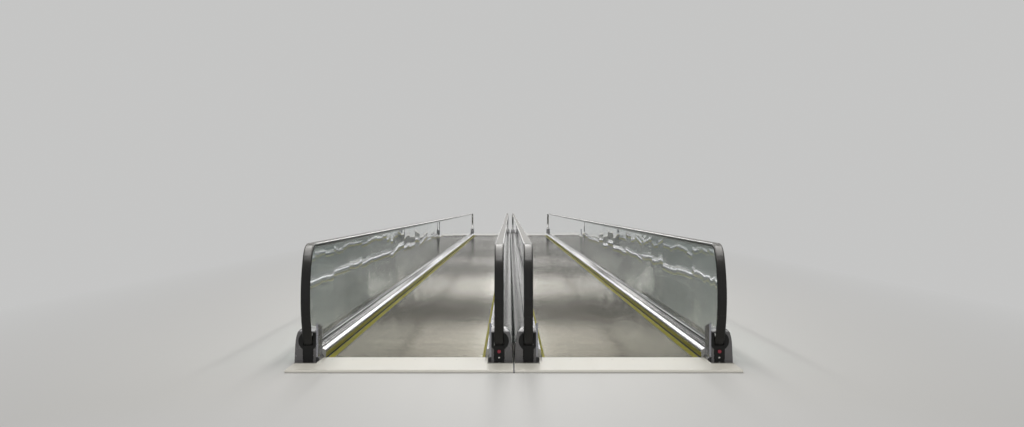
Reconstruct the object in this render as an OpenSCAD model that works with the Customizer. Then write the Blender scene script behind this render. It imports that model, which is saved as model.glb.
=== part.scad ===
// Twin moving walkway: two level pallet walks side by side with glass balustrades.
// X runs across, Y along the travel, Z up. The origin lies at the middle of the twin, at floor level.

/* [Walk] */
// Length between the two comb lines
walk_length = 36000; // [8000:100:38000]
// Usable width of the pallets
pallet_w = 1400; // [800:10:1600]
// Distance between the middles of the two inner handrails
rail_gap = 250; // [245:1:760]
// Height of the pallet surface above the floor
tread_h = 21; // [20:1:60]
// Thickness of the base tray that everything stands on
base_t = 6; // [4:1:10]
// Running gap between pallet edge and skirt, each side
skirt_gap = 4; // [2:0.5:4]
// Clearance between pieces that rest on each other
seat = 0.3; // [0.2:0.1:0.5]

/* [Pallets and combs] */
// Pitch of the cleats on the pallets
cleat_pitch = 9; // [8:0.5:12]
// Width of one cleat
cleat_w = 3; // [2.5:0.1:3.5]
// Depth of the grooves between the cleats
groove_d = 10; // [10:0.5:11]
// Width of one comb tooth
tooth_w = 3; // [2.5:0.1:3.5]
// Length of the comb teeth in the grooves
tooth_l = 40; // [25:1:60]
// Length of the comb bed behind the teeth
comb_l = 160; // [100:1:250]
// Rise of the comb and landing above the pallets
comb_rise = 3; // [2:0.5:4]
// Distance from the comb line to the front edge of the landing
landing_l = 700; // [600:10:1500]
// Run of the bevel at the front edge of the landing
bevel_l = 18; // [5:1:40]
// Joint between neighbouring landing plates
landing_gap = 14; // [2:1:16]
// Distance from the middle of the outer handrails to the side edge of the landing
landing_out = 95; // [90:1:100]

/* [Balustrade] */
// Distance from the edge of the pallets to the middle of the handrail
rail_inset = 120; // [110:1:160]
// Height of the skirt above the pallets
skirt_h = 60; // [40:1:70]
// Thickness of the skirt plate
skirt_t = 4; // [3:0.5:6]
// Height of the deck beside the glass, above the pallets
deck_h = 130; // [120:1:160]
// Thickness of the deck sheets
deck_t = 4; // [3:0.5:5]
// Distance from the middle of the handrail to the outer cladding
cladding_out = 116; // [112:1:130]
// Radius of the rounded lower edge of the inner deck
nose_r = 12; // [8:1:13]
// Number of ribs on the sloping inner deck
rib_count = 3; // [1:1:4]
// Pitch of the ribs on the inner deck
rib_pitch = 9; // [7:1:10]
// Gap between the decks of the two walks
deck_gap = 3; // [2:1:10]

/* [Glass] */
// Thickness of the glass
glass_t = 12; // [8:1:12]
// Length of one pane
pane_l = 900; // [600:10:2400]
// Joint between two panes
pane_gap = 3; // [2:1:6]
// Distance from the comb line to the first joint, inside the walk
first_joint = 950; // [600:10:1500]
// Height of the bottom edge of the glass above the pallets
glass_foot = 80; // [78:1:90]

/* [Handrail and newel] */
// Height of the handrail above the pallets
rail_top = 1010; // [950:10:1050]
// Height of the foremost point of the handrail above the pallets
newel_mid = 550; // [520:5:600]
// Distance from the comb line to the foremost point of the handrail
newel_out = 365; // [340:5:600]
// Radius of the long front curve of the newel
front_r = 720; // [650:10:900]
// Radius of the upper corner of the newel
corner_r = 200; // [150:5:250]
// Height of the hidden return run of the handrail above the pallets
return_h = 22; // [18:1:24]
// Width of the handrail
rail_w = 80; // [70:1:84]
// Thickness of the handrail from its face to the edge of its lips
rail_t = 30; // [26:1:30]
// Thickness of the handrail's face
rail_face = 11; // [9:0.5:11]

/* [Newel boot] */
// Distance from the foremost point of the handrail back to the front of the boot
boot_back = 125; // [120:1:130]
// Distance from the foremost point of the handrail back to the end of the boot
boot_l = 325; // [300:5:335]
// Height of the boot above the landing
boot_h = 283; // [275:1:300]
// Distance from the middle of the handrail to the far side of the boot
boot_out = 116; // [112:1:116]
// Height of the brow over the handrail inlet
brow_h = 40; // [36:1:44]
// Width of the slot in which the handrail dives into the boot
mouth_w = 92; // [88:1:94]
// Diameter of the round part of the handrail inlet
inlet_d = 167; // [150:1:170]
// Height of the middle of the round part above the landing
inlet_z = 173; // [165:1:180]
// Width of the stem of the inlet
stem_w = 86; // [84:1:90]
// Thickness of the inlet moulding
inlet_t = 5; // [4:0.5:6]
// Depth of the collars of the inlet beside the handrail
inlet_depth = 40; // [20:1:45]
// Thickness of the base plate under the boot
plinth_h = 6; // [5:0.5:8]
// How far the base plate reaches in front of the handrail
plinth_out = 8; // [0:1:20]
// Distance from the middle of the handrail to the side plate on the side of the pallets
side_plate_p = 67; // [60:1:70]
// Thickness of the side plate
side_plate_t = 17; // [10:1:18]
// Height of the side plate above the landing, at its front
side_plate_h = 326; // [300:1:340]
// Diameter of the head of the emergency stop button
button_d = 30; // [24:1:40]
// Height of the emergency stop button above the landing
button_z = 83; // [70:1:95]
// Travel of the emergency stop button
button_travel = 4; // [2:1:5]

/* [Hidden] */
$fn = 64;

half_l = walk_length / 2;
front_y = half_l + newel_out;
boot_y = front_y - boot_l;
landing_y = half_l + landing_l;
comb_y = half_l + tooth_l;
bed_y = comb_y + comb_l;
landing_h = tread_h + comb_rise;
rail_x = pallet_w / 2 + rail_inset;
walk_x = rail_x + rail_gap / 2;
skirt_p = rail_inset - skirt_gap;
centre_out = rail_gap / 2 - deck_gap / 2;
outer_x = walk_x + rail_x + cladding_out;
landing_x = walk_x + rail_x + landing_out;

// Newel curve: an upper corner, a long front curve and a wide lower corner, tangent to each other.
// Its points are [y, z] from the foremost point of the handrail and from the pallets.
corner_a = rounded(asin((rail_top - corner_r - newel_mid) / (front_r - corner_r)), 10000);
lower_r = rounded((newel_mid - return_h - front_r * sin(corner_a)) / (1 - sin(corner_a)), 10);
front_c = [-front_r, newel_mid];
upper_c = front_c + (front_r - corner_r) * [cos(corner_a), sin(corner_a)];
lower_c = front_c + (front_r - lower_r) * [cos(corner_a), -sin(corner_a)];
top_z = upper_c[1] + corner_r;
return_z = lower_c[1] - lower_r;
splice_y = floor(min(upper_c[0], lower_c[0])) - 20;
run_half = front_y + splice_y;

// Section of handrail, guide and glass, measured inwards from the face of the handrail
lip_t = 9;
lip_w = 21;
cavity_w = rail_w - 20;
guide_head_t = rail_t - rail_face - lip_t - 2 * seat;
guide_neck_w = 26;
guide_d = 56;
glass_edge = 38;
lap = 1;

// Section of the decks, measured from the middle of the handrail towards the pallets
glass_half = glass_t / 2 + seat;
clamp_t = 6;
cap_p = 36;
cap_drop = 14;
nose_c = [skirt_p - nose_r, skirt_h + seat + 3];
rib_w = 4;
rib_h = 2.5;
rib_p = 50;
leg_p = 52;
outer_r = 20;

// Boot and inlet
boot_floor = 8;
inlet_inset = 1;
inlet_rear = boot_back + inlet_inset + inlet_t;
inlet_floor = lower_c[1] - sqrt(lower_r * lower_r - pow(lower_c[0] + inlet_rear, 2)) - 4;
foot_z = comb_rise + plinth_h;
boot_top = comb_rise + boot_h;
mouth_top = boot_top - brow_h;
boot_crown = boot_l - 70;
boot_rear_z = deck_h + 10;
kick_out = side_plate_p + side_plate_t + 13;
button_bore = 17;

// Balustrades: position across, direction of the pallets, far face of the deck, of the base plate
OUTER_LEFT = [-walk_x - rail_x, 1, cladding_out, landing_out - 1];
INNER_LEFT = [-walk_x + rail_x, -1, centre_out, boot_out];
INNER_RIGHT = [walk_x - rail_x, 1, centre_out, boot_out];
OUTER_RIGHT = [walk_x + rail_x, -1, cladding_out, landing_out - 1];
NEAR = -1;
FAR = 1;

function rounded(value, per_unit) = round(value * per_unit) / per_unit;

// Extrudes an X-Z section along Y, from y0 to y1
module along_y(y0, y1) {
    translate([0, y1, 0]) rotate([90, 0, 0]) linear_extrude(y1 - y0) children();
}

// Extrudes a Y-Z outline across X, from x0 to x1
module across_x(x0, x1) {
    translate([x0, 0, 0]) rotate([90, 0, 90]) linear_extrude(x1 - x0) children();
}

// Puts a piece at one balustrade: its own +X then points to the pallets
module at_rail(rail) {
    translate([rail[0], 0, 0]) mirror([rail[1] < 0 ? 1 : 0, 0, 0]) children();
}

// Puts a piece that is drawn for the far end at either end
module at_end(end) {
    mirror([0, end < 0 ? 1 : 0, 0]) children();
}

// Puts a piece at one newel: its Y is 0 at the foremost point, its Z at the pallets
module at_newel(end) {
    at_end(end) translate([0, front_y, tread_h]) children();
}

// Moves to a point [y, z] in steps of ever smaller parts, so that no decimal is lost
module at_point(c) {
    coarse = [floor(c[0]), floor(c[1])];
    fine = [rounded(c[0] - coarse[0], 1000), rounded(c[1] - coarse[1], 1000)];
    rest = c - coarse - fine;
    translate([0, coarse[0], coarse[1]]) translate([0, fine[0], fine[1]])
        translate([0, rest[0], rest[1]]) children();
}

// Sweeps a section round one arc of the newel; its X points outwards, its Y across
module arc_sweep(centre, radius, a0, a1) {
    at_point(centre) rotate([90, 0, 90])
        rotate_extrude(angle = a1 - a0, start = a0) translate([radius, 0]) children();
}

// Sweeps a section along Y from a point [y, z], its X pointing up
module run_sweep(from, length) {
    at_point(from) rotate([90, 0, 90]) rotate([90, 0, 90]) linear_extrude(length) children();
}

// Section of the handrail, a C that grips the guide
module handrail_section() {
    edge_r = 12;
    difference() {
        union() {
            translate([-rail_t, -rail_w / 2 + edge_r]) square([rail_t, rail_w - 2 * edge_r]);
            translate([-rail_t + edge_r, -rail_w / 2]) square([rail_t - 2 * edge_r, rail_w]);
            for (side = [-1, 1], x = [-edge_r, -rail_t + edge_r])
                translate([x, side * (rail_w / 2 - edge_r)]) circle(edge_r);
        }
        translate([-rail_t + lip_t, -cavity_w / 2])
            square([rail_t - lip_t - rail_face, cavity_w]);
        translate([-rail_t - 1, -lip_w]) square([lip_t + 2, 2 * lip_w]);
    }
}

// Section of the guide: a flat head in the handrail and a channel over the edge of the glass
module guide_section() {
    head_w = cavity_w - 4 * seat;
    neck_top = rail_face + seat;
    difference() {
        union() {
            translate([-neck_top - guide_head_t, -head_w / 2]) square([guide_head_t, head_w]);
            translate([-guide_d, -guide_neck_w / 2])
                square([guide_d - neck_top - guide_head_t / 2, guide_neck_w]);
        }
        translate([-guide_d - 1, -glass_half])
            square([guide_d + 1 - glass_edge + seat, 2 * glass_half]);
    }
}

// One end of the handrail: three arcs, and the straights next to them
module handrail_end() {
    straight_l = upper_c[0] - splice_y;
    return_l = lower_c[0] - splice_y;
    arc_sweep(upper_c, corner_r, corner_a, 90) handrail_section();
    arc_sweep(front_c, front_r, -corner_a, corner_a) handrail_section();
    arc_sweep(lower_c, lower_r, -90, -corner_a) handrail_section();
    mirror([0, 1, 0]) run_sweep([-upper_c[0], top_z], straight_l) handrail_section();
    mirror([0, 0, 1]) mirror([0, 1, 0]) run_sweep([-lower_c[0], -return_z], return_l)
        handrail_section();
}

module handrail(rail) {
    color("#1d1c1a") at_rail(rail) {
        for (end = [NEAR, FAR]) at_newel(end) handrail_end();
        translate([0, 0, tread_h]) {
            run_sweep([-run_half - lap, top_z], 2 * (run_half + lap)) handrail_section();
            mirror([0, 0, 1]) run_sweep([-run_half - lap, -return_z], 2 * (run_half + lap))
                handrail_section();
        }
    }
}

module rail_guide(rail) {
    mouth_a = 8;
    color("#b9bbb8") at_rail(rail) {
        for (end = [NEAR, FAR]) at_newel(end) {
            arc_sweep(upper_c, corner_r, corner_a, 90) guide_section();
            arc_sweep(front_c, front_r, -corner_a, corner_a) guide_section();
            arc_sweep(lower_c, lower_r, -corner_a - mouth_a, -corner_a) guide_section();
            mirror([0, 1, 0]) run_sweep([-upper_c[0], top_z], upper_c[0] - splice_y)
                guide_section();
        }
        translate([0, 0, tread_h])
            run_sweep([-run_half - lap, top_z], 2 * (run_half + lap)) guide_section();
    }
}

// Section of the glass from the centre of a newel arc to its edge
module glass_section(radius) {
    translate([-radius, -glass_t / 2]) square([radius - glass_edge, glass_t]);
}

// The pane at the newel, from its joint to the rounded end
module newel_pane(joint_y) {
    boot_foot = newel_mid - (front_r - glass_edge) * sin(corner_a) + 10;
    pane_h = top_z - glass_edge - glass_foot;
    difference() {
        union() {
            at_point([upper_c[0], glass_foot]) translate([-glass_t / 2, joint_y - upper_c[0], 0])
                cube([glass_t, upper_c[0] - joint_y, pane_h]);
            arc_sweep(upper_c, corner_r, corner_a, 90) glass_section(corner_r);
            arc_sweep(front_c, front_r, -corner_a, corner_a) glass_section(front_r);
        }
        translate([-glass_t, -boot_l - pane_gap, 0])
            cube([2 * glass_t, boot_l + pane_gap + 1, boot_foot]);
    }
}

module glass(rail) {
    joint_y = half_l - first_joint;
    count = max(1, round(2 * joint_y / pane_l));
    pitch = 2 * joint_y / count;
    color("#9fb3ad", 0.45) at_rail(rail) {
        for (i = [0 : count - 1])
            translate([-glass_t / 2, -joint_y + i * pitch + pane_gap / 2, tread_h + glass_foot])
                cube([glass_t, pitch - pane_gap, rail_top - glass_edge - glass_foot]);
        for (end = [NEAR, FAR]) at_newel(end)
            newel_pane(pane_gap / 2 - newel_out - first_joint);
    }
}

module skirt(rail) {
    color("#c9cac8") at_rail(rail) along_y(-boot_y, boot_y)
        translate([skirt_p - skirt_t, base_t]) square([skirt_t, tread_h + skirt_h - base_t]);
}

// Height of the sloping inner deck at distance p from the handrail's middle
function slope_z(p) = let (a = nose_c + [0, nose_r], b = [cap_p, deck_h - cap_drop])
    a[1] + (b[1] - a[1]) * (p - a[0]) / (b[0] - a[0]);

// Points of an arc round c, from angle a0 to a1
function arc(c, r, a0, a1, steps = 8) =
    [for (i = [0 : steps]) let (a = a0 + (a1 - a0) * i / steps) c + r * [cos(a), sin(a)]];

// Section of the inner deck: cap beside the glass, ribbed slope, rounded nose, leg and clamp
module inner_deck_section() {
    clamp_p = glass_half + clamp_t;
    foot = glass_foot - seat - clamp_t;
    lip = skirt_h + seat;
    under = 1.2 * deck_t;
    lip_p = nose_c[0] - nose_r / 2;
    polygon(concat(
        [[glass_half, deck_h], [cap_p - deck_t, deck_h - deck_t / 2], [cap_p, slope_z(cap_p)]],
        [for (i = [0 : rib_count - 1], corner = [[0, 0], [0, rib_h], [rib_w, rib_h], [rib_w, 0]])
            let (p = rib_p + i * rib_pitch + corner[0]) [p, slope_z(p) + corner[1]]],
        arc(nose_c, nose_r, 90, 0),
        [[skirt_p, lip], [lip_p, lip], [lip_p, slope_z(lip_p) - under],
            [leg_p + deck_t, slope_z(leg_p + deck_t) - under], [leg_p + deck_t, base_t - tread_h],
            [leg_p, base_t - tread_h], [leg_p, slope_z(leg_p) - under],
            [cap_p - deck_t, slope_z(cap_p) - under],
            [cap_p - 2 * deck_t, deck_h - deck_t / 2 - under], [clamp_p, deck_h - under],
            [clamp_p, foot], [-glass_half, foot], [-glass_half, foot + clamp_t],
            [glass_half, foot + clamp_t]]));
}

module inner_deck(rail) {
    color("#a9abab") at_rail(rail) along_y(-boot_y, boot_y)
        translate([0, tread_h]) inner_deck_section();
}

// Section of the outer deck: clamp flange, flat top, rounded edge and cladding down to the tray
module outer_deck_section(out) {
    foot = glass_foot - seat;
    translate([-glass_half - clamp_t, foot]) square([clamp_t, deck_h - foot]);
    translate([-out + outer_r, deck_h - deck_t]) square([out - outer_r - glass_half, deck_t]);
    translate([-out, base_t - tread_h]) square([deck_t, deck_h - outer_r - base_t + tread_h]);
    intersection() {
        translate([-out + outer_r, deck_h - outer_r]) difference() {
            circle(outer_r);
            circle(outer_r - deck_t);
        }
        translate([-out, deck_h - outer_r]) square(outer_r);
    }
}

module outer_deck(rail) {
    color("#c4c5c3") at_rail(rail) along_y(-boot_y, boot_y)
        translate([0, tread_h]) outer_deck_section(rail[2]);
}

// Tray under everything, wider where it carries the cladding
module base_tray() {
    color("#8b8d8d") linear_extrude(base_t)
        for (half = [[outer_x, front_y - boot_back], [landing_x, landing_y]])
            translate(-half) square(2 * half);
}

// Section of the pallet band: a plate that carries evenly spaced cleats
module pallet_section() {
    cleats = floor((pallet_w - cleat_w) / cleat_pitch) + 1;
    plate_z = base_t + seat;
    groove_z = tread_h - groove_d;
    first = -(cleats - 1) * cleat_pitch / 2;
    translate([-pallet_w / 2, plate_z]) square([pallet_w, groove_z - plate_z]);
    for (i = [0 : cleats - 1])
        translate([first + i * cleat_pitch - cleat_w / 2, plate_z])
            square([cleat_w, tread_h - plate_z]);
}

module pallets(x) {
    color("#8f8f8c") translate([x, 0, 0]) along_y(-comb_y + seat, comb_y - seat) pallet_section();
}

// Plan of the comb: a bed with one tooth for each groove
module comb_plan() {
    teeth = floor((pallet_w - cleat_w) / cleat_pitch);
    first = -(teeth - 1) * cleat_pitch / 2;
    translate([-pallet_w / 2, comb_y]) square([pallet_w, comb_l]);
    for (i = [0 : teeth - 1])
        translate([first + i * cleat_pitch - tooth_w / 2, half_l]) square([tooth_w, tooth_l + 1]);
}

// Side view of the comb: teeth that rise out of the grooves to a flat bed
module comb_side() {
    tooth_z = tread_h - groove_d + 2;
    tip_h = 2;
    polygon([[half_l, tread_h - tip_h], [half_l + tip_h, tread_h], [comb_y, landing_h],
        [bed_y, landing_h], [bed_y, base_t], [comb_y, base_t], [comb_y, tooth_z],
        [half_l + tip_h, tooth_z]]);
}

module comb(x, end) {
    color("#d5d3cb") translate([x, 0, 0]) at_end(end) intersection() {
        linear_extrude(landing_h + 1) comb_plan();
        across_x(-pallet_w / 2 - 1, pallet_w / 2 + 1) comb_side();
    }
}

// Landing plate of one walk: it frames the comb and carries the boots
module landing(side, end) {
    bevel_h = 12;
    seam_d = 4;
    color("#ddd8cb") mirror([side < 0 ? 1 : 0, 0, 0]) at_end(end) difference() {
        across_x(landing_gap / 2, landing_x) polygon([[boot_y + seat, base_t],
            [boot_y + seat, landing_h], [landing_y - bevel_l, landing_h],
            [landing_y, landing_h - bevel_h], [landing_y, base_t]]);
        translate([walk_x - pallet_w / 2 - skirt_gap, boot_y, 0])
            cube([pallet_w + 2 * skirt_gap, bed_y + seat - boot_y, landing_h + 1]);
        for (x = [walk_x - pallet_w / 2 - skirt_gap, walk_x + pallet_w / 2])
            translate([x, bed_y, landing_h - seam_d])
                cube([skirt_gap, front_y + plinth_out - bed_y, seam_d + 1]);
    }
}

// Disc round a centre, as far as it lies within an outline
module disc_in(centre, radius, outline) {
    intersection() {
        translate(centre) circle(radius);
        polygon(outline);
    }
}

// Front view of a boot's housing: a far side that leans in, a round shoulder and a flat top
module boot_front_2d() {
    side_r = 400;
    shoulder_r = 60;
    lean_in = 6.5;
    waist = [lean_in - boot_out, comb_rise + boot_h / 2];
    lean_a = atan(lean_in / (waist[1] - foot_z));
    side_c = waist + side_r * [cos(lean_a), -sin(lean_a)];
    shoulder_a = asin((boot_top - shoulder_r - side_c[1]) / (side_r - shoulder_r));
    out = [-cos(shoulder_a), sin(shoulder_a)];
    shoulder_c = side_c + (side_r - shoulder_r) * out;
    polygon([[-boot_out, foot_z], [side_plate_p, foot_z], [side_plate_p, boot_top],
        [shoulder_c[0], boot_top], shoulder_c, [0, waist[1]], waist]);
    translate(shoulder_c) circle(shoulder_r);
    disc_in(side_c, side_r, [[0, waist[1]], waist - [boot_out, 0],
        shoulder_c + boot_out * out, shoulder_c]);
}

// Side view of a boot's housing: a brow, a gently arched crown and a fall to the deck
module boot_side_2d() {
    brow_r = 20;
    brow_a = 70;
    out = [cos(brow_a), sin(brow_a)];
    brow_c = [-boot_back - brow_r, mouth_top];
    crown_r = (brow_h - brow_r * out[1]) / (1 - out[1]);
    crown_c = brow_c + (brow_r - crown_r) * out;
    polygon([[seat - boot_l, foot_z], [-boot_back, foot_z], [-boot_back, mouth_top], brow_c,
        [crown_c[0], mouth_top], [crown_c[0], boot_top], [seat - boot_l, boot_rear_z]]);
    translate(brow_c) circle(brow_r);
    disc_in(crown_c, crown_r, [[crown_c[0], mouth_top], brow_c, brow_c + boot_h * out,
        [crown_c[0], boot_top + boot_h]]);
}

// Side view of the hollow in which the handrail turns
module boot_hollow_2d() {
    roof_t = 8;
    channel_z = foot_z + boot_floor;
    polygon([[-boot_l - 1, channel_z], [1, channel_z], [1, mouth_top], [-boot_crown, mouth_top],
        [-boot_l - 1, boot_rear_z - roof_t]]);
}

// Front view of the inlet: a round opening over a stem, squared off at brow and side plate
module keyhole_2d(extra) {
    middle = comb_rise + inlet_z;
    foot = foot_z + seat - 2 * extra;
    intersection() {
        union() {
            translate([0, middle]) circle(inlet_d / 2 + extra);
            translate([-stem_w / 2 - extra, foot]) square([stem_w + 2 * extra, middle - foot]);
            translate([0, middle]) square(inlet_d);
        }
        translate([-inlet_d, 0])
            square([inlet_d + side_plate_p - seat + extra, mouth_top + extra]);
    }
}

// Plate that covers the boot on the side of the pallets
module side_plate() {
    set_back = boot_back + 10;
    lift = 33;
    fall = 48;
    across_x(side_plate_p, side_plate_p + side_plate_t) polygon([
        [seat - boot_l, comb_rise + lift], [-set_back, comb_rise + lift],
        [-set_back, comb_rise + side_plate_h], [seat - boot_l, comb_rise + side_plate_h - fall]]);
}

// Low kick strip at the foot of the side plate
module kick_strip() {
    kick_h = 27;
    along_y(seat - boot_l, -boot_back - 10) polygon([[side_plate_p - lap, foot_z],
        [kick_out, foot_z], [kick_out, foot_z + kick_h / 2],
        [side_plate_p + side_plate_t, foot_z + kick_h],
        [side_plate_p - lap, foot_z + kick_h]]);
}

// Cap over the open end of the inner deck
module deck_cap() {
    cap_t = 4;
    along_y(seat - boot_l, cap_t - boot_l) polygon(concat(
        [[side_plate_p, foot_z], [kick_out + seat, foot_z], [kick_out + seat, comb_rise + seat],
            [skirt_p, comb_rise + seat]],
        arc(nose_c, nose_r, 0, 90), [[side_plate_p, slope_z(side_plate_p)]]));
}

// Skin of an outer boot that reaches down past the landing to the tray
module boot_skin() {
    translate([-boot_out, seat - boot_l, base_t - tread_h])
        cube([boot_out - landing_out - 1, boot_l - boot_back - seat, foot_z - base_t + tread_h]);
}

module boot(rail, end) {
    guide_slot = guide_neck_w + 4;
    glass_slot = glass_t + 6;
    color("#aeacab") at_rail(rail) at_newel(end) {
        difference() {
            intersection() {
                along_y(seat - boot_l, -boot_back) boot_front_2d();
                across_x(-boot_out - 1, side_plate_p + 1) boot_side_2d();
            }
            across_x(-mouth_w / 2, mouth_w / 2) boot_hollow_2d();
            translate([-guide_slot / 2, -boot_back - brow_h, mouth_top - 1])
                cube([guide_slot, 2 * brow_h, 2 * brow_h]);
            translate([-glass_slot / 2, -boot_l - 1, foot_z + boot_floor])
                cube([glass_slot, boot_l, boot_h]);
            along_y(-boot_back - inlet_depth - seat, 1) keyhole_2d(seat);
        }
        side_plate();
        kick_strip();
        deck_cap();
        if (rail[3] < boot_out) boot_skin();
    }
}

// Dark keyhole moulding round the handrail's inlet, with its button bore where it has one
module inlet(rail, end, has_button) {
    slot = rail_w / 2 + 3;
    face = -boot_back - inlet_inset;
    collar_z = comb_rise + inlet_z - inlet_d / 3;
    at_rail(rail) at_newel(end) difference() {
        union() {
            along_y(face - inlet_t, face) keyhole_2d(0);
            intersection() {
                along_y(-boot_back - inlet_depth, face - inlet_t / 2) keyhole_2d(0);
                for (x = [-3 * slot, slot]) translate([x, -boot_l, collar_z])
                    cube([2 * slot, boot_l, boot_h]);
            }
        }
        translate([-slot, -boot_l, inlet_floor]) cube([2 * slot, boot_l, boot_h]);
        if (has_button) translate([0, face, comb_rise + button_z]) rotate([90, 0, 0])
            cylinder(d = button_bore, h = 4 * inlet_t, center = true);
    }
}

// Base plate that the boot stands on
module plinth(rail, end) {
    at_rail(rail) at_newel(end) translate([-rail[3], seat - boot_l, comb_rise])
        cube([rail[3] + kick_out, boot_l + plinth_out - seat, plinth_h - seat]);
}

module inlets(end) {
    color("#1b1b1a") {
        inlet(OUTER_LEFT, end, end == FAR);
        inlet(INNER_LEFT, end, end == NEAR);
        inlet(INNER_RIGHT, end, end == FAR);
        inlet(OUTER_RIGHT, end, end == NEAR);
    }
}

module plinths(end) {
    color("#a3a3a0") for (rail = [OUTER_LEFT, INNER_LEFT, INNER_RIGHT, OUTER_RIGHT])
        plinth(rail, end);
}

// Emergency stop button: its head stands off the inlet by its travel
module stop_button(rail, end) {
    head_t = 8;
    stand_off = button_travel + 1;
    stem_in = 30;
    color("#b3262c") at_rail(rail) at_newel(end)
        translate([0, -boot_back - inlet_inset, comb_rise + button_z]) rotate([-90, 0, 0]) {
            translate([0, 0, stand_off]) cylinder(d = button_d, h = head_t);
            translate([0, 0, -stem_in])
                cylinder(d = button_bore - 1, h = stem_in + stand_off + head_t / 2);
        }
}

base_tray();
pallets(-walk_x);  // pallets_left
pallets(walk_x);  // pallets_right
comb(-walk_x, NEAR);  // comb_near_left
comb(walk_x, NEAR);  // comb_near_right
comb(-walk_x, FAR);  // comb_far_left
comb(walk_x, FAR);  // comb_far_right
landing(-1, NEAR);  // landing_near_left
landing(1, NEAR);  // landing_near_right
landing(-1, FAR);  // landing_far_left
landing(1, FAR);  // landing_far_right
skirt(OUTER_LEFT);  // skirt_outer_left
skirt(INNER_LEFT);  // skirt_inner_left
skirt(INNER_RIGHT);  // skirt_inner_right
skirt(OUTER_RIGHT);  // skirt_outer_right
inner_deck(OUTER_LEFT);  // inner_deck_outer_left
inner_deck(INNER_LEFT);  // inner_deck_inner_left
inner_deck(INNER_RIGHT);  // inner_deck_inner_right
inner_deck(OUTER_RIGHT);  // inner_deck_outer_right
outer_deck(OUTER_LEFT);  // outer_deck_outer_left
outer_deck(INNER_LEFT);  // outer_deck_inner_left
outer_deck(INNER_RIGHT);  // outer_deck_inner_right
outer_deck(OUTER_RIGHT);  // outer_deck_outer_right
glass(OUTER_LEFT);  // glass_outer_left
glass(INNER_LEFT);  // glass_inner_left
glass(INNER_RIGHT);  // glass_inner_right
glass(OUTER_RIGHT);  // glass_outer_right
rail_guide(OUTER_LEFT);  // rail_guide_outer_left
rail_guide(INNER_LEFT);  // rail_guide_inner_left
rail_guide(INNER_RIGHT);  // rail_guide_inner_right
rail_guide(OUTER_RIGHT);  // rail_guide_outer_right
handrail(OUTER_LEFT);  // handrail_outer_left
handrail(INNER_LEFT);  // handrail_inner_left
handrail(INNER_RIGHT);  // handrail_inner_right
handrail(OUTER_RIGHT);  // handrail_outer_right
boot(OUTER_LEFT, NEAR);  // boot_near_outer_left
boot(INNER_LEFT, NEAR);  // boot_near_inner_left
boot(INNER_RIGHT, NEAR);  // boot_near_inner_right
boot(OUTER_RIGHT, NEAR);  // boot_near_outer_right
boot(OUTER_LEFT, FAR);  // boot_far_outer_left
boot(INNER_LEFT, FAR);  // boot_far_inner_left
boot(INNER_RIGHT, FAR);  // boot_far_inner_right
boot(OUTER_RIGHT, FAR);  // boot_far_outer_right
inlets(NEAR);  // inlets_near
inlets(FAR);  // inlets_far
plinths(NEAR);  // plinths_near
plinths(FAR);  // plinths_far
stop_button(INNER_LEFT, NEAR);  // stop_button_near_left
stop_button(OUTER_RIGHT, NEAR);  // stop_button_near_right
stop_button(OUTER_LEFT, FAR);  // stop_button_far_left
stop_button(INNER_RIGHT, FAR);  // stop_button_far_right
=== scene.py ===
import bpy, bmesh, math
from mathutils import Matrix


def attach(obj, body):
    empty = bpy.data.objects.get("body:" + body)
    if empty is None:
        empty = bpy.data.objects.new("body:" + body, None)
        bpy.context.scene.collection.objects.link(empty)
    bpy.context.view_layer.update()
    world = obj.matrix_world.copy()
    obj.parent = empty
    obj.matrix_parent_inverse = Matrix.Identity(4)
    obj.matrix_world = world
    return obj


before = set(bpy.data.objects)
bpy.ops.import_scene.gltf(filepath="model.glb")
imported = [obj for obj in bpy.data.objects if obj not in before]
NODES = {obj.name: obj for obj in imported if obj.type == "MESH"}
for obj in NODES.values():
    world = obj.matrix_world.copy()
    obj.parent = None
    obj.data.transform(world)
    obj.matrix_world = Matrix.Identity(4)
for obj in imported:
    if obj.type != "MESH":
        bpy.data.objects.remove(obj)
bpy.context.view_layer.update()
scene = bpy.context.scene

# Sizes of the model, in metres. X and Y are counted from the middle of the twin, P from the
# middle of a handrail towards its pallets.
WALK_X, RAIL_X = 0.945, 0.820                       # middle of a walk, and from there to its handrails
TREAD_Z, LAND_Z, DECK_Z = 0.021, 0.024, 0.151       # tops of the pallets, landings and decks
FRONT_Y, COMB_Y, DECK_Y = 18.365, 18.04, 18.04      # fronts of the handrails, combs and ends of the decks
PALLET_HALF, PALLET_L, PALLET_JOINT = 0.700, 0.400, 0.003
OUTER_LINE_W, INNER_LINE_W, SKIRT_GAP_SHADE_W = 0.062, 0.030, 0.007
COMB_PITCH = 0.009
PANE_START, PANE_L, LAST_PANE = 17.05, 34.1 / 38, 38.0
SHEET_START, SHEET_L, SHEET_JOINT = 17.73, 2.692, 0.0015
RIBS_P, RIB_P, RIB_PITCH, RIB_HALF, NOSE_P = (0.0455, 0.0765), 0.052, 0.009, 0.0021, 0.086
BOOT_FACE, SIDE_PLATE_P, KICK_P, KICK_Z = 0.126, 0.067, 0.084, TREAD_Z + 0.036
LANDING_GAP_SHADE_X = 0.0075
RAILS = {"outer_left": -WALK_X - RAIL_X, "inner_left": -WALK_X + RAIL_X,
         "inner_right": WALK_X - RAIL_X, "outer_right": WALK_X + RAIL_X}
BUTTON_RAILS = {-1: ("inner_left", "outer_right"), 1: ("outer_left", "inner_right")}

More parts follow.
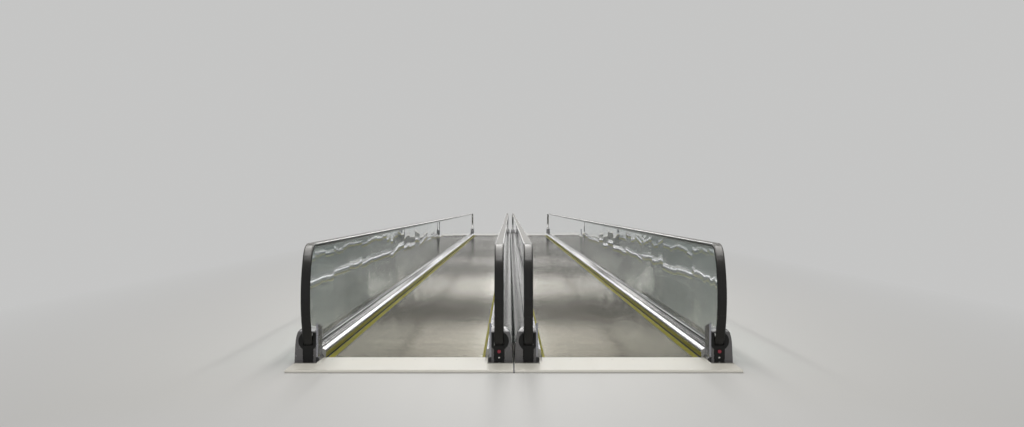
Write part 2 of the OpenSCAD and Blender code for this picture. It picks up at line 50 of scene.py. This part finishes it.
# ---------------------------------------------------------------- camera
PHOTO_W = 1024
cam_data = bpy.data.cameras.new("camera")
cam = bpy.data.objects.new("camera", cam_data)
scene.collection.objects.link(cam)
cam.location = (-0.037, -26.48, 1.351)
cam.rotation_euler = (math.radians(90), 0, 0)
cam_data.sensor_width, cam_data.lens = 36.0, 33.75
cam_data.shift_x, cam_data.shift_y = 2.6 / PHOTO_W, -7.0 / PHOTO_W
cam_data.clip_start, cam_data.clip_end = 0.1, 2000
scene.camera = cam
scene.view_settings.view_transform = "Standard"


# ---------------------------------------------------------------- materials
class Mat:
    """A material with a principled shader, and short ways to add nodes to it."""

    def __init__(self, name, **values):
        self.mat = bpy.data.materials.new(name)
        self.mat.use_nodes = True
        self.nt = self.mat.node_tree
        self.bsdf = self.nt.nodes["Principled BSDF"]
        self.out = self.nt.nodes["Material Output"]
        self.set(**values)
        self.where = self.node("ShaderNodeTexCoord").outputs["Object"]

    def set(self, **values):
        for key, value in values.items():
            self.put(self.bsdf, key.replace("_", " "), value)

    def node(self, kind, **props):
        n = self.nt.nodes.new(kind)
        for key, value in props.items():
            setattr(n, key, value)
        return n

    def link(self, a, b):
        self.nt.links.new(a, b)

    def put(self, node, index, value):
        if isinstance(value, bpy.types.NodeSocket):
            self.link(value, node.inputs[index])
        else:
            node.inputs[index].default_value = value

    def fill(self, node, sockets, output=0):
        """Puts a value or a link in each named or numbered input; gives one output."""
        for index, value in sockets:
            self.put(node, index, value)
        return node.outputs[output]

    def math(self, op, a, b=0.0, c=0.0):
        return self.fill(self.node("ShaderNodeMath", operation=op), enumerate((a, b, c)))

    def split(self, vector):
        n = self.node("ShaderNodeSeparateXYZ")
        self.link(vector, n.inputs[0])
        return n.outputs

    def vector(self, x, y, z):
        return self.fill(self.node("ShaderNodeCombineXYZ"), enumerate((x, y, z)))

    def scaled(self, x, y, z):
        """The place on the object, stretched along each axis."""
        n = self.node("ShaderNodeVectorMath", operation="MULTIPLY")
        return self.fill(n, ((0, self.where), (1, (x, y, z))))

    def noise(self, vector, scale, detail, rough):
        sockets = (("Vector", vector), ("Scale", scale), ("Detail", detail), ("Roughness", rough))
        return self.fill(self.node("ShaderNodeTexNoise"), sockets, "Fac")

    def random(self, x, y):
        n = self.node("ShaderNodeTexWhiteNoise", noise_dimensions="2D")
        return self.fill(n, (("Vector", self.vector(x, y, 0.0)),), "Value")

    def remap(self, value, a, b, c, d):
        return self.fill(self.node("ShaderNodeMapRange"), enumerate((value, a, b, c, d)))

    def mix(self, factor, a, b):
        return self.fill(self.node("ShaderNodeMix", data_type="RGBA"), ((0, factor), (6, a), (7, b)), 2)

    def blend(self, factor, a, b):
        return self.fill(self.node("ShaderNodeMix", data_type="FLOAT"), ((0, factor), (2, a), (3, b)))

    def bump(self, height, distance, strength=1.0):
        sockets = (("Strength", strength), ("Distance", distance), ("Height", height))
        self.link(self.fill(self.node("ShaderNodeBump"), sockets), self.bsdf.inputs["Normal"])

    def mix_shader(self, factor, a, b):
        n = self.node("ShaderNodeMixShader")
        self.link(self.fill(n, enumerate((factor, a, b))), self.out.inputs["Surface"])

    def above(self, value, limit):
        return self.math("GREATER_THAN", value, limit)

    def between(self, value, a, b):
        return self.math("MULTIPLY", self.above(value, a), self.math("LESS_THAN", value, b))

    def size(self, value, middle=0.0):
        """Distance of a value from a middle."""
        if middle:
            value = self.math("SUBTRACT", value, middle)
        return self.math("ABSOLUTE", value)

    def each(self, value, pitch, start, half):
        """1 in a line of that half width, repeated at a pitch."""
        turn = self.math("DIVIDE", self.math("SUBTRACT", value, start - pitch / 2), pitch)
        away = self.size(self.math("FRACT", turn), 0.5)
        return self.math("LESS_THAN", away, half / pitch)

    def rail_p(self):
        """Distance from the middle of the nearest handrail towards the pallets."""
        x = self.size(self.split(self.where)[0])
        return self.math("SUBTRACT", RAIL_X, self.size(x, WALK_X))

    def paint_over(self, mask, colour):
        """Lays a colour over the base colour where the mask is 1."""
        plain = self.bsdf.inputs["Base Color"].links[0].from_socket
        self.set(Base_Color=self.mix(mask, plain, colour))


def rgb(r, g, b):
    return (r, g, b, 1.0)


def scale_rgb(colour, k):
    return rgb(*[min(1.0, c * k) for c in colour])


GRAIN = (260, 1.2, 260)   # stretch of the fine grain along Y


def metal(name, colour, rough, metallic=1.0, tone=0.05, edge=1.0):
    """Metal with a fine grain along Y and slow patches; edge is its tint at a sharp angle."""
    m = Mat(name, Metallic=metallic, Specular_Tint=rgb(edge, edge, edge))
    grain = m.noise(m.scaled(*GRAIN), 1.0, 3.0, 0.6)
    patch = m.noise(m.where, 1.3, 4.0, 0.6)
    level = m.math("ADD", m.math("MULTIPLY", grain, 0.5), m.math("MULTIPLY", patch, 0.5))
    part = m.remap(level, 0.3, 0.7, 0, 1)
    m.set(Base_Color=m.mix(part, scale_rgb(colour, 1 - tone), scale_rgb(colour, 1 + tone)),
          Roughness=m.blend(part, rough - 0.04, rough + 0.04))
    m.bump(grain, 0.0004, 0.12)
    return m


def sheet(name, colour, rough, edge):
    """Long folded sheets along Y, with a fine dark joint wherever two meet."""
    m = metal(name, colour, rough, tone=0.03, edge=edge)
    y = m.split(m.where)[1]
    m.paint_over(m.each(y, SHEET_L, SHEET_START, SHEET_JOINT), rgb(0.02, 0.02, 0.02))
    return m


def rubber():
    """Black handrail: paler on its upward faces, partly from dust and partly as a painted highlight; glossy
    at the sides, dull at the back of its bends.
    """
    m = Mat("handrail_rubber", IOR=1.5, Specular_IOR_Level=0.42)
    up = m.split(m.node("ShaderNodeNewGeometry").outputs["Normal"])[2]
    worn = m.noise(m.scaled(1, 0.15, 1), 3.0, 4.0, 0.6)
    # painted highlight mixed with real dust: the upward faces and the shoulders of the bends are painted
    # paler
    pale_amount = m.math("MULTIPLY", m.remap(up, 0.3, 0.8, 0, 1), m.remap(worn, 0.3, 0.7, 0.7, 1.0))
    flat = m.math("MAXIMUM", m.remap(up, 0.93, 0.985, 0, 1), m.remap(up, -0.1, -0.4, 0, 1))
    m.set(Base_Color=m.mix(pale_amount, rgb(0.006, 0.0055, 0.0045), rgb(0.105, 0.100, 0.090)),
          Roughness=m.blend(flat, m.remap(worn, 0.3, 0.7, 0.12, 0.17), 0.52))
    m.bump(m.noise(m.where, 900, 2.0, 0.5), 0.0002, 0.2)
    return m


def plastic(name, colour, rough, fine=1200):
    """Moulded plastic or rubber with a fine surface and a little dust."""
    m = Mat(name, IOR=1.5, Specular_IOR_Level=0.3)
    pale_amount = m.noise(m.where, 9.0, 5.0, 0.65)
    dusty = rgb(*[c * 1.4 + 0.004 for c in colour])
    m.set(Base_Color=m.mix(m.remap(pale_amount, 0.4, 0.75, 0, 1), rgb(*colour), dusty),
          Roughness=m.remap(pale_amount, 0.3, 0.7, rough - 0.05, rough + 0.06))
    m.bump(m.noise(m.where, fine, 2.0, 0.5), 0.0003, 0.3)
    return m


def pallet():
    """Die-cast pallets: satin cleats, darker grooves, joints, yellow lines along both edges, and painted
    shade of the skirt gap at their very edges.
    """
    m = Mat("pallet_aluminium")
    x, y, z = m.split(m.where)
    streak = m.noise(m.scaled(60, 0.9, 1), 1.0, 3.0, 0.6)
    dirt = m.noise(m.scaled(3, 1.1, 1), 1.0, 5.0, 0.65)
    own = m.random(m.math("FLOOR", m.math("DIVIDE", y, PALLET_L)), m.math("SIGN", x))
    uneven = m.noise(m.scaled(38, 9, 1), 1.0, 1.0, 0.5)
    level = m.math("ADD", m.math("MULTIPLY", streak, 0.4), m.math("MULTIPLY", dirt, 0.6))
    level = m.math("ADD", level, m.remap(own, 0, 1, -0.06, 0.06))
    level = m.math("ADD", level, m.remap(uneven, 0.3, 0.7, -0.30, 0.30))
    cleat = m.mix(m.remap(level, 0.2, 0.8, 0, 1), rgb(0.28, 0.27, 0.235), rgb(0.74, 0.715, 0.64))
    colour = m.mix(m.above(z, TREAD_Z - 0.0006), rgb(0.40, 0.39, 0.35), cleat)
    # yellow lines, wider on the outer side of a walk, with painted shade of the gap to the skirt on the
    # outermost strip of the pallets beside them
    worn = m.noise(m.scaled(14, 5, 1), 1.0, 4.0, 0.6)
    paint = m.mix(m.remap(worn, 0.35, 0.75, 0, 1), rgb(0.40, 0.365, 0.02), rgb(0.29, 0.27, 0.045))
    across = m.math("SUBTRACT", m.size(x), WALK_X)
    side = m.size(across)
    starts = m.blend(m.above(across, 0.0), PALLET_HALF - INNER_LINE_W, PALLET_HALF - OUTER_LINE_W)
    line = m.above(side, starts)
    # painted shade: the outermost strip of each pallet is dark for the gap to the skirt
    edge = m.above(side, PALLET_HALF - SKIRT_GAP_SHADE_W)
    colour = m.mix(line, colour, m.mix(edge, paint, rgb(0.03, 0.03, 0.025)))
    joint = m.each(y, PALLET_L, 0.0, PALLET_JOINT)
    m.set(Base_Color=m.mix(joint, colour, rgb(0.02, 0.02, 0.02)),
          Specular_Tint=rgb(0.45, 0.435, 0.39), Specular_IOR_Level=0.1,
          Metallic=m.math("MULTIPLY", m.math("SUBTRACT", 1.0, line), 0.9),
          Roughness=m.blend(line, m.remap(level, 0.3, 0.7, 0.09, 0.14), 0.6),
          Anisotropic=1.0, Tangent=m.vector(1.0, 0.0, 0.0))
    waves, dents = m.math("MULTIPLY", uneven, 0.0004), m.math("MULTIPLY", joint, 0.004)
    m.bump(m.math("SUBTRACT", waves, dents), 1.0)
    return m


def landing(name, colour):
    """Pale satin plate with fine ribs along the travel."""
    m = Mat(name, Metallic=0.0)
    patch = m.noise(m.where, 2.2, 5.0, 0.65)
    part = m.remap(patch, 0.3, 0.7, 0, 1)
    ribs = m.each(m.split(m.where)[0], COMB_PITCH, 0.0, COMB_PITCH / 4)
    base = m.mix(part, scale_rgb(colour, 0.93), rgb(*colour))
    m.set(Base_Color=m.mix(m.math("MULTIPLY", ribs, 0.25), base, scale_rgb(colour, 0.80)),
          Roughness=m.blend(part, 0.34, 0.46))
    fine = m.noise(m.scaled(300, 4, 300), 1.0, 3.0, 0.6)
    m.bump(m.math("ADD", m.math("MULTIPLY", fine, 0.0001), m.math("MULTIPLY", ribs, -0.0004)), 1.0)
    return m


def inner_deck():
    """Extruded deck: polished cap, painted shade in the grooves between the ribs, painted highlights on the
    rib crests, and a rounded nose painted paler as a highlight.
    """
    m = Mat("inner_deck_aluminium", Metallic=1.0)
    p = m.rail_p()
    y = m.split(m.where)[1]
    grain = m.noise(m.scaled(*GRAIN), 1.0, 3.0, 0.6)
    nose = m.above(p, NOSE_P)
    ribbed = m.between(p, *RIBS_P)
    crest = m.each(p, RIB_PITCH, RIB_P, RIB_HALF)
    groove = m.math("MULTIPLY", ribbed, m.math("SUBTRACT", 1.0, crest))
    joint = m.each(y, SHEET_L, SHEET_START, SHEET_JOINT)
    # painted highlight: the nose is paler than the cap, here and in its tint at a sharp angle below
    colour = m.mix(nose, rgb(0.34, 0.34, 0.335), rgb(0.62, 0.62, 0.635))
    # painted highlight on the crests of the ribs
    colour = m.mix(m.math("MULTIPLY", ribbed, crest), colour, rgb(0.84, 0.84, 0.83))
    # painted shade in the grooves between the ribs
    colour = m.mix(groove, colour, rgb(0.05, 0.05, 0.05))
    colour = m.mix(joint, colour, rgb(0.03, 0.03, 0.03))
    polished, satin = m.remap(grain, 0.3, 0.7, 0.07, 0.13), m.remap(grain, 0.3, 0.7, 0.17, 0.24)
    m.set(Base_Color=colour, Roughness=m.blend(nose, polished, satin),
          Specular_Tint=m.mix(nose, rgb(0.40, 0.40, 0.40), rgb(0.66, 0.66, 0.68)))
    waves, dents = m.math("MULTIPLY", grain, 0.00003), m.math("MULTIPLY", joint, 0.002)
    m.bump(m.math("SUBTRACT", waves, dents), 1.0)
    return m


def boot_metal():
    """Newel: dark satin housing, side plate painted paler as a lit copy of the housing metal, dark kick
    strip, pale cap on the deck.
    """
    m = Mat("boot_metal")
    p = m.rail_p()
    _, y, z = m.split(m.where)
    plate = m.math("MULTIPLY", m.between(p, SIDE_PLATE_P, KICK_P + 0.0002), m.above(z, KICK_Z))
    cap = m.math("MULTIPLY", m.above(p, KICK_P), m.math("LESS_THAN", m.size(y), DECK_Y + 0.005))
    kick = m.math("MULTIPLY", m.above(p, SIDE_PLATE_P), m.math("LESS_THAN", z, KICK_Z + 0.0001))
    patch = m.remap(m.noise(m.where, 6.0, 4.0, 0.6), 0.3, 0.7, 0, 1)
    colour = m.mix(patch, rgb(0.150, 0.147, 0.150), rgb(0.195, 0.190, 0.195))
    # painted light: the side plate takes a paler copy of the housing metal, standing in for the light its
    # other orientation catches
    colour = m.mix(plate, colour, rgb(0.375, 0.38, 0.415))
    colour = m.mix(kick, colour, rgb(0.055, 0.055, 0.055))
    colour = m.mix(cap, colour, rgb(0.55, 0.55, 0.53))
    m.set(Base_Color=colour, Metallic=m.blend(plate, 0.45, 0.9),
          Roughness=m.blend(patch, 0.22, 0.30))
    m.bump(m.noise(m.where, 700.0, 2.0, 0.6), 0.0003, 0.2)
    return m


def glass():
    """Clear coated panes: each leans a little its own way and is slightly wavy."""
    m = Mat("balustrade_glass", IOR=1.5, Roughness=0.0, Transmission_Weight=1.0,
            Coat_Weight=1.0, Coat_IOR=1.7, Coat_Roughness=0.0)
    x, y, z = m.split(m.where)
    pane = m.math("FLOOR", m.math("DIVIDE", m.math("ADD", y, PANE_START), PANE_L))
    pane = m.math("MINIMUM", m.math("MAXIMUM", pane, -1.0), LAST_PANE)
    outer = m.above(m.size(x), 1.0)
    wall = m.math("MULTIPLY", m.math("SIGN", x), m.math("ADD", outer, 1.0))
    own = m.math("ADD", m.math("MULTIPLY", pane, 3.1), m.math("MULTIPLY", wall, 57.3))

    def sway(scale, swing, shift):
        place = m.vector(y, m.math("MULTIPLY", z, 0.5), m.math("ADD", own, shift))
        level = m.noise(place, scale, 0.0, 0.5)
        return m.math("MULTIPLY", m.math("SUBTRACT", level, 0.5), swing)

    lean = m.math("MULTIPLY", m.math("SUBTRACT", m.random(pane, wall), 0.5), 0.042)
    amount = m.remap(m.random(wall, pane), 0.6, 1.0, 0.04, 0.34)
    ripple = m.math("MULTIPLY", sway(8.0, 0.120, 5.0), amount)
    tilt_z = m.math("ADD", m.math("ADD", lean, sway(1.1, 0.050, 0.0)), ripple)
    tilt_y = sway(1.3, 0.008, 9.0)
    # the tilts bend the normal of the two large faces alone
    face = m.node("ShaderNodeNewGeometry").outputs["True Normal"]
    side = m.split(face)[0]
    sign = m.math("SIGN", side)
    bent = m.vector(sign, m.math("MULTIPLY", sign, tilt_y), m.math("MULTIPLY", sign, tilt_z))
    pick = m.node("ShaderNodeMix", data_type="VECTOR")
    normal = m.fill(pick, ((0, m.above(m.size(side), 0.9)), (4, face), (5, bent)), 1)
    unit = m.fill(m.node("ShaderNodeVectorMath", operation="NORMALIZE"), ((0, normal),))
    tint = m.remap(m.noise(m.where, 0.8, 2.0, 0.5), 0.3, 0.7, 0, 1)
    m.set(Normal=unit, Coat_Normal=unit,
          Base_Color=m.mix(tint, rgb(0.70, 0.78, 0.755), rgb(0.73, 0.80, 0.78)))
    # light passes straight through for shadows
    clear = m.node("ShaderNodeBsdfTransparent")
    clear.inputs[0].default_value = rgb(0.82, 0.88, 0.86)
    shadow = m.node("ShaderNodeLightPath").outputs["Is Shadow Ray"]
    m.mix_shader(shadow, m.bsdf.outputs[0], clear.outputs[0])
    return m


def button_red():
    m = Mat("button_red", IOR=1.49, Coat_Weight=0.4, Coat_Roughness=0.12)
    patch = m.noise(m.where, 120.0, 3.0, 0.6)
    worn = m.remap(patch, 0.35, 0.7, 0, 1)
    m.set(Base_Color=m.mix(worn, rgb(0.40, 0.020, 0.050), rgb(0.30, 0.016, 0.040)),
          Roughness=m.remap(patch, 0.3, 0.7, 0.22, 0.34))
    m.bump(patch, 0.0002, 0.2)
    return m


def base():
    """Pale tray, with painted shade where it shows through the gap between the two landings."""
    m = metal("base_steel", (0.76, 0.75, 0.72), 0.45, metallic=0.0)
    joint = m.math("LESS_THAN", m.size(m.split(m.where)[0]), LANDING_GAP_SHADE_X)
    # painted shade of the gap between the two landings
    m.paint_over(joint, rgb(0.010, 0.010, 0.010))
    return m


# the look of a node is the first whose key starts the node's name
LOOKS = {
    "base_tray": base(),
    "pallets": pallet(),
    "comb": landing("comb_aluminium", (0.69, 0.665, 0.60)),
    "landing": landing("landing_plate", (0.70, 0.675, 0.605)),
    "skirt": sheet("skirt_steel", (0.60, 0.59, 0.56), 0.08, 0.9),
    "inner_deck": inner_deck(),
    "outer_deck": sheet("outer_deck_steel", (0.31, 0.31, 0.30), 0.16, 0.23),
    "glass": glass(),
    "rail_guide": metal("guide_steel", (0.60, 0.60, 0.59), 0.24),
    "handrail": rubber(),
    "boot": boot_metal(),
    "inlets": plastic("inlet_plastic", (0.008, 0.008, 0.0078), 0.42),
    "plinths": metal("base_plate_steel", (0.50, 0.49, 0.475), 0.14, tone=0.04),
    "stop_button": button_red(),
}
for name, o in NODES.items():
    look = next(v for k, v in LOOKS.items() if name.startswith(k))
    o.data.materials.clear()
    o.data.materials.append(look.mat)


# ---------------------------------------------------------------- extra pieces
def new_mesh(name, bm, look):
    mesh = bpy.data.meshes.new(name)
    bm.to_mesh(mesh)
    bm.free()
    mesh.materials.append(look.mat)
    o = bpy.data.objects.new(name, mesh)
    scene.collection.objects.link(o)
    return o


def new_piece(name, bm, look, body="root"):
    bmesh.ops.recalc_face_normals(bm, faces=bm.faces)
    o = new_mesh(name, bm, look)
    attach(o, body)


def strip(bm, section, y0, y1):
    """Adds a bar along Y with an X-Z section to a mesh."""
    ends = [[bm.verts.new((x, y, z)) for x, z in section] for y in (y0, y1)]
    n = len(section)
    for i in range(n):
        bm.faces.new((ends[0][i], ends[0][(i + 1) % n], ends[1][(i + 1) % n], ends[1][i]))
    bm.faces.new(ends[0])
    bm.faces.new(ends[1])


def turned(bm, profile, place, segments):
    """Adds a turned piece to a mesh; place takes a point (u, v) on a circle and a height."""
    rings = []
    for r, h in profile:
        angles = (2 * math.pi * i / segments for i in range(segments))
        rings.append([bm.verts.new(place(r * math.cos(a), r * math.sin(a), h)) for a in angles])
    for a, b in zip(rings, rings[1:]):
        for i in range(segments):
            j = (i + 1) % segments
            bm.faces.new((a[i], a[j], b[j], b[i]))
    bm.faces.new(rings[0])
    bm.faces.new(rings[-1])


# Glazing gaskets: a black bead along each side of the glass, on the decks.
# Each point of the section is a distance from the middle of the glass and a height on the deck.
GASKET = [(0.0061, 0.0001), (0.0098, 0.0001), (0.0094, 0.0022), (0.0076, 0.0032), (0.0061, 0.0030)]
GASKET_END = 0.01
gasket_look = plastic("gasket_rubber", (0.010, 0.010, 0.010), 0.55, 600)
for rail, rail_x in RAILS.items():
    bm = bmesh.new()
    for side in (-1, 1):
        section = [(rail_x + side * p, DECK_Z + z) for p, z in GASKET]
        strip(bm, section, GASKET_END - DECK_Y, DECK_Y - GASKET_END)
    new_piece("gasket_" + rail, bm, gasket_look)

# Countersunk screws in each comb bed; each point of a turned profile is a radius and a height
SCREW = [(0.0048, -0.0002), (0.0048, 0.0006), (0.0042, 0.0010),
         (0.0022, 0.0010), (0.0020, -0.0006), (0.0002, -0.0010)]
SCREWS, SCREW_PITCH, SCREW_Y = 8, 0.180, COMB_Y + 0.11
screw_look = metal("screw_steel", (0.42, 0.42, 0.41), 0.3)
for end, end_name in ((-1, "near"), (1, "far")):
    for side, side_name in ((-1, "left"), (1, "right")):
        bm = bmesh.new()
        for i in range(SCREWS):
            cx, cy = side * WALK_X + (i - (SCREWS - 1) / 2) * SCREW_PITCH, end * SCREW_Y
            turned(bm, SCREW, lambda u, v, h: (cx + u, cy + v, LAND_Z + h), 16)
        new_piece("comb_screws_%s_%s" % (end_name, side_name), bm, screw_look)

# Key switch under each emergency stop button: a bezel, and a dark piece in its core as painted shade of the
# key slot
BEZEL = [(0.0070, -0.0006), (0.0070, 0.0014), (0.0060, 0.0022),
         (0.0044, 0.0022), (0.0040, 0.0012), (0.0004, 0.0012)]
KEYHOLE = [(0.0026, 0.0011), (0.0026, 0.0015), (0.0004, 0.0016)]
KEYHOLE_SQUEEZE = 0.3
KEY_Z = LAND_Z + 0.030
bezel_look = metal("key_switch_steel", (0.78, 0.78, 0.77), 0.22)
slot_shade_look = plastic("key_slot", (0.01, 0.01, 0.01), 0.5)
for end, rails in BUTTON_RAILS.items():
    for rail in rails:
        rail_x, face_y = RAILS[rail], end * (FRONT_Y - BOOT_FACE)
        name = "%s_%s" % ("near" if end < 0 else "far", rail)
        bm = bmesh.new()
        turned(bm, BEZEL, lambda u, v, h: (rail_x + u, face_y + end * h, KEY_Z + v), 20)
        new_piece("key_switch_" + name, bm, bezel_look)
        # dark piece as painted shade of the key slot
        bm = bmesh.new()
        turned(bm, KEYHOLE, lambda u, v, h: (rail_x + KEYHOLE_SQUEEZE * u, face_y + end * h, KEY_Z + v), 12)
        new_piece("key_slot_" + name, bm, slot_shade_look)

# ---------------------------------------------------------------- studio
BACKDROP = rgb(0.56, 0.56, 0.555)
WORLD_LIGHT = rgb(0.28, 0.28, 0.28)
FLOOR_HALF, FLOOR_DROP = 600, 0.0005
FADE_X, FADE_Y, FADE_W = 2.3, 19.5, 4.5   # the floor fades into the backdrop from there on
LAMP_COLOUR = (1.0, 0.985, 0.96)


def seen_directly(nt):
    """1 for camera, glossy and transmission rays."""
    path = nt.nodes.new("ShaderNodeLightPath")
    total = path.outputs["Is Camera Ray"]
    for key in ("Is Glossy Ray", "Is Transmission Ray"):
        n = nt.nodes.new("ShaderNodeMath")
        n.operation = "MAXIMUM"
        nt.links.new(total, n.inputs[0])
        nt.links.new(path.outputs[key], n.inputs[1])
        total = n.outputs[0]
    return total


# Pale floor that passes into the backdrop far from the walks
m = Mat("floor_paint", Roughness=0.55)
m.set(Base_Color=m.mix(m.noise(m.where, 0.2, 2.0, 0.5), rgb(0.57, 0.565, 0.55), rgb(0.59, 0.585, 0.57)))
x, y, _ = m.split(m.where)
away = m.math("MAXIMUM", m.math("SUBTRACT", m.size(x), FADE_X), m.math("SUBTRACT", m.size(y), FADE_Y))
fade = m.math("MULTIPLY", m.remap(away, 0.0, FADE_W, 0.0, 1.0), seen_directly(m.nt))
glow = m.node("ShaderNodeEmission")
glow.inputs[0].default_value = BACKDROP
m.mix_shader(fade, m.bsdf.outputs[0], glow.outputs[0])
bm = bmesh.new()
bmesh.ops.create_grid(bm, x_segments=1, y_segments=1, size=FLOOR_HALF)
floor = new_mesh("floor", bm, m)
floor.location.z = -FLOOR_DROP

world = bpy.data.worlds.new("studio")
scene.world = world
world.use_nodes = True
nt = world.node_tree
tone = nt.nodes.new("ShaderNodeMix")
tone.data_type = "RGBA"
tone.inputs[6].default_value = WORLD_LIGHT
tone.inputs[7].default_value = BACKDROP
nt.links.new(seen_directly(nt), tone.inputs[0])
nt.links.new(tone.outputs[2], nt.nodes["Background"].inputs[0])


def softbox(name, place, size, tilt, radiance):
    """Area lamp of a given radiance; it shines down, or towards -Y with a tilt of -90 degrees."""
    data = bpy.data.lights.new(name, "AREA")
    data.shape = "RECTANGLE"
    data.size, data.size_y = size
    data.energy, data.color = radiance * 4 * size[0] * size[1], LAMP_COLOUR
    o = bpy.data.objects.new(name, data)
    scene.collection.objects.link(o)
    o.location = place
    o.rotation_euler = (math.radians(tilt), 0, 0)
    o.visible_camera = False


# Three long softboxes over the walks: the X and width of each
LONG_BOXES = ((-3.1, 0.5), (0.0, 0.8), (3.1, 0.5))
LONG_Y, LONG_Z, LONG_L, LONG_RADIANCE = -0.8, 7.2, 45.6, 5.6
for i, (lamp_x, wide) in enumerate(LONG_BOXES):
    softbox("long_box_%d" % i, (lamp_x, LONG_Y, LONG_Z), (wide, LONG_L), 0, LONG_RADIANCE)

# Bars across, far beyond the walks, which the pallets show as bright bands:
# lower and upper edge above the pallets, width and radiance of each
FAR_BARS = ((7.3, 9.9, 26.0, 1.75), (3.8, 5.2, 14.5, 2.0), (2.45, 2.9, 10.0, 1.5),
            (1.58, 1.8, 8.0, 1.1), (0.96, 1.2, 6.5, 1.3))
FAR_Y = 43.5
for i, (low, high, wide, radiance) in enumerate(FAR_BARS):
    middle_z = TREAD_Z + (low + high) / 2
    softbox("far_bar_%d" % i, (0.0, FAR_Y, middle_z), (wide, high - low), -90, radiance)
